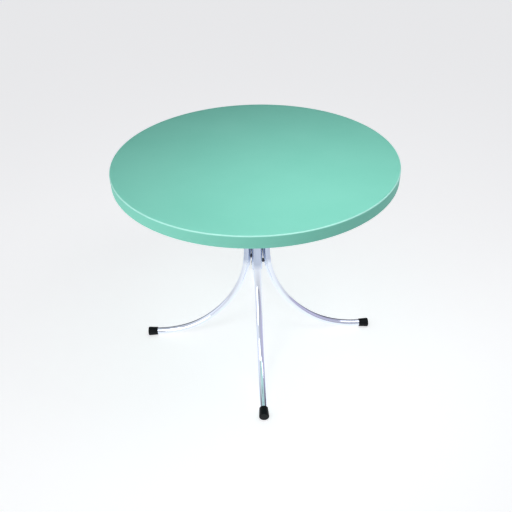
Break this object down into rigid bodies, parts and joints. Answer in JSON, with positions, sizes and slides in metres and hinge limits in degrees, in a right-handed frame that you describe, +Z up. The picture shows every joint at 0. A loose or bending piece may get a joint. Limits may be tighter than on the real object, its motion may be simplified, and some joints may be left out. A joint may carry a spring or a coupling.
{
  "type": "round table",
  "caption": "Round table with a moulded drop-rim top on a central post, swept tube legs and push-on foot caps.",
  "frame": {"origin": "on the floor under the middle of the post", "axes": "+Z up along the post, -Y along the front leg, +X along the right leg"},
  "size_m": [0.8499, 0.85, 0.71],
  "materials": {
    "top_plastic": "smooth satin gloss, mint green",
    "tube_chrome": "bright polished plating",
    "plate_steel": "zinc plated, dull",
    "screw_steel": "zinc plated",
    "weld_steel": "as welded, dark",
    "plug_plastic": "moulded, light grey",
    "cap_rubber": "moulded, black, faint sheen"
  },
  "bodies": {
    "root": {"table_top": "top_plastic", "mount_plate": "plate_steel", "plate_screws": "screw_steel", "centre_post": "tube_chrome", "post_plug": "plug_plastic", "leg_front": "tube_chrome", "leg_right": "tube_chrome", "leg_back": "tube_chrome", "leg_left": "tube_chrome", "foot_cap_front": "cap_rubber", "foot_cap_right": "cap_rubber", "foot_cap_back": "cap_rubber", "foot_cap_left": "cap_rubber", "tack_welds": "weld_steel", "plate_welds": "weld_steel"}
  },
  "joints": []
}
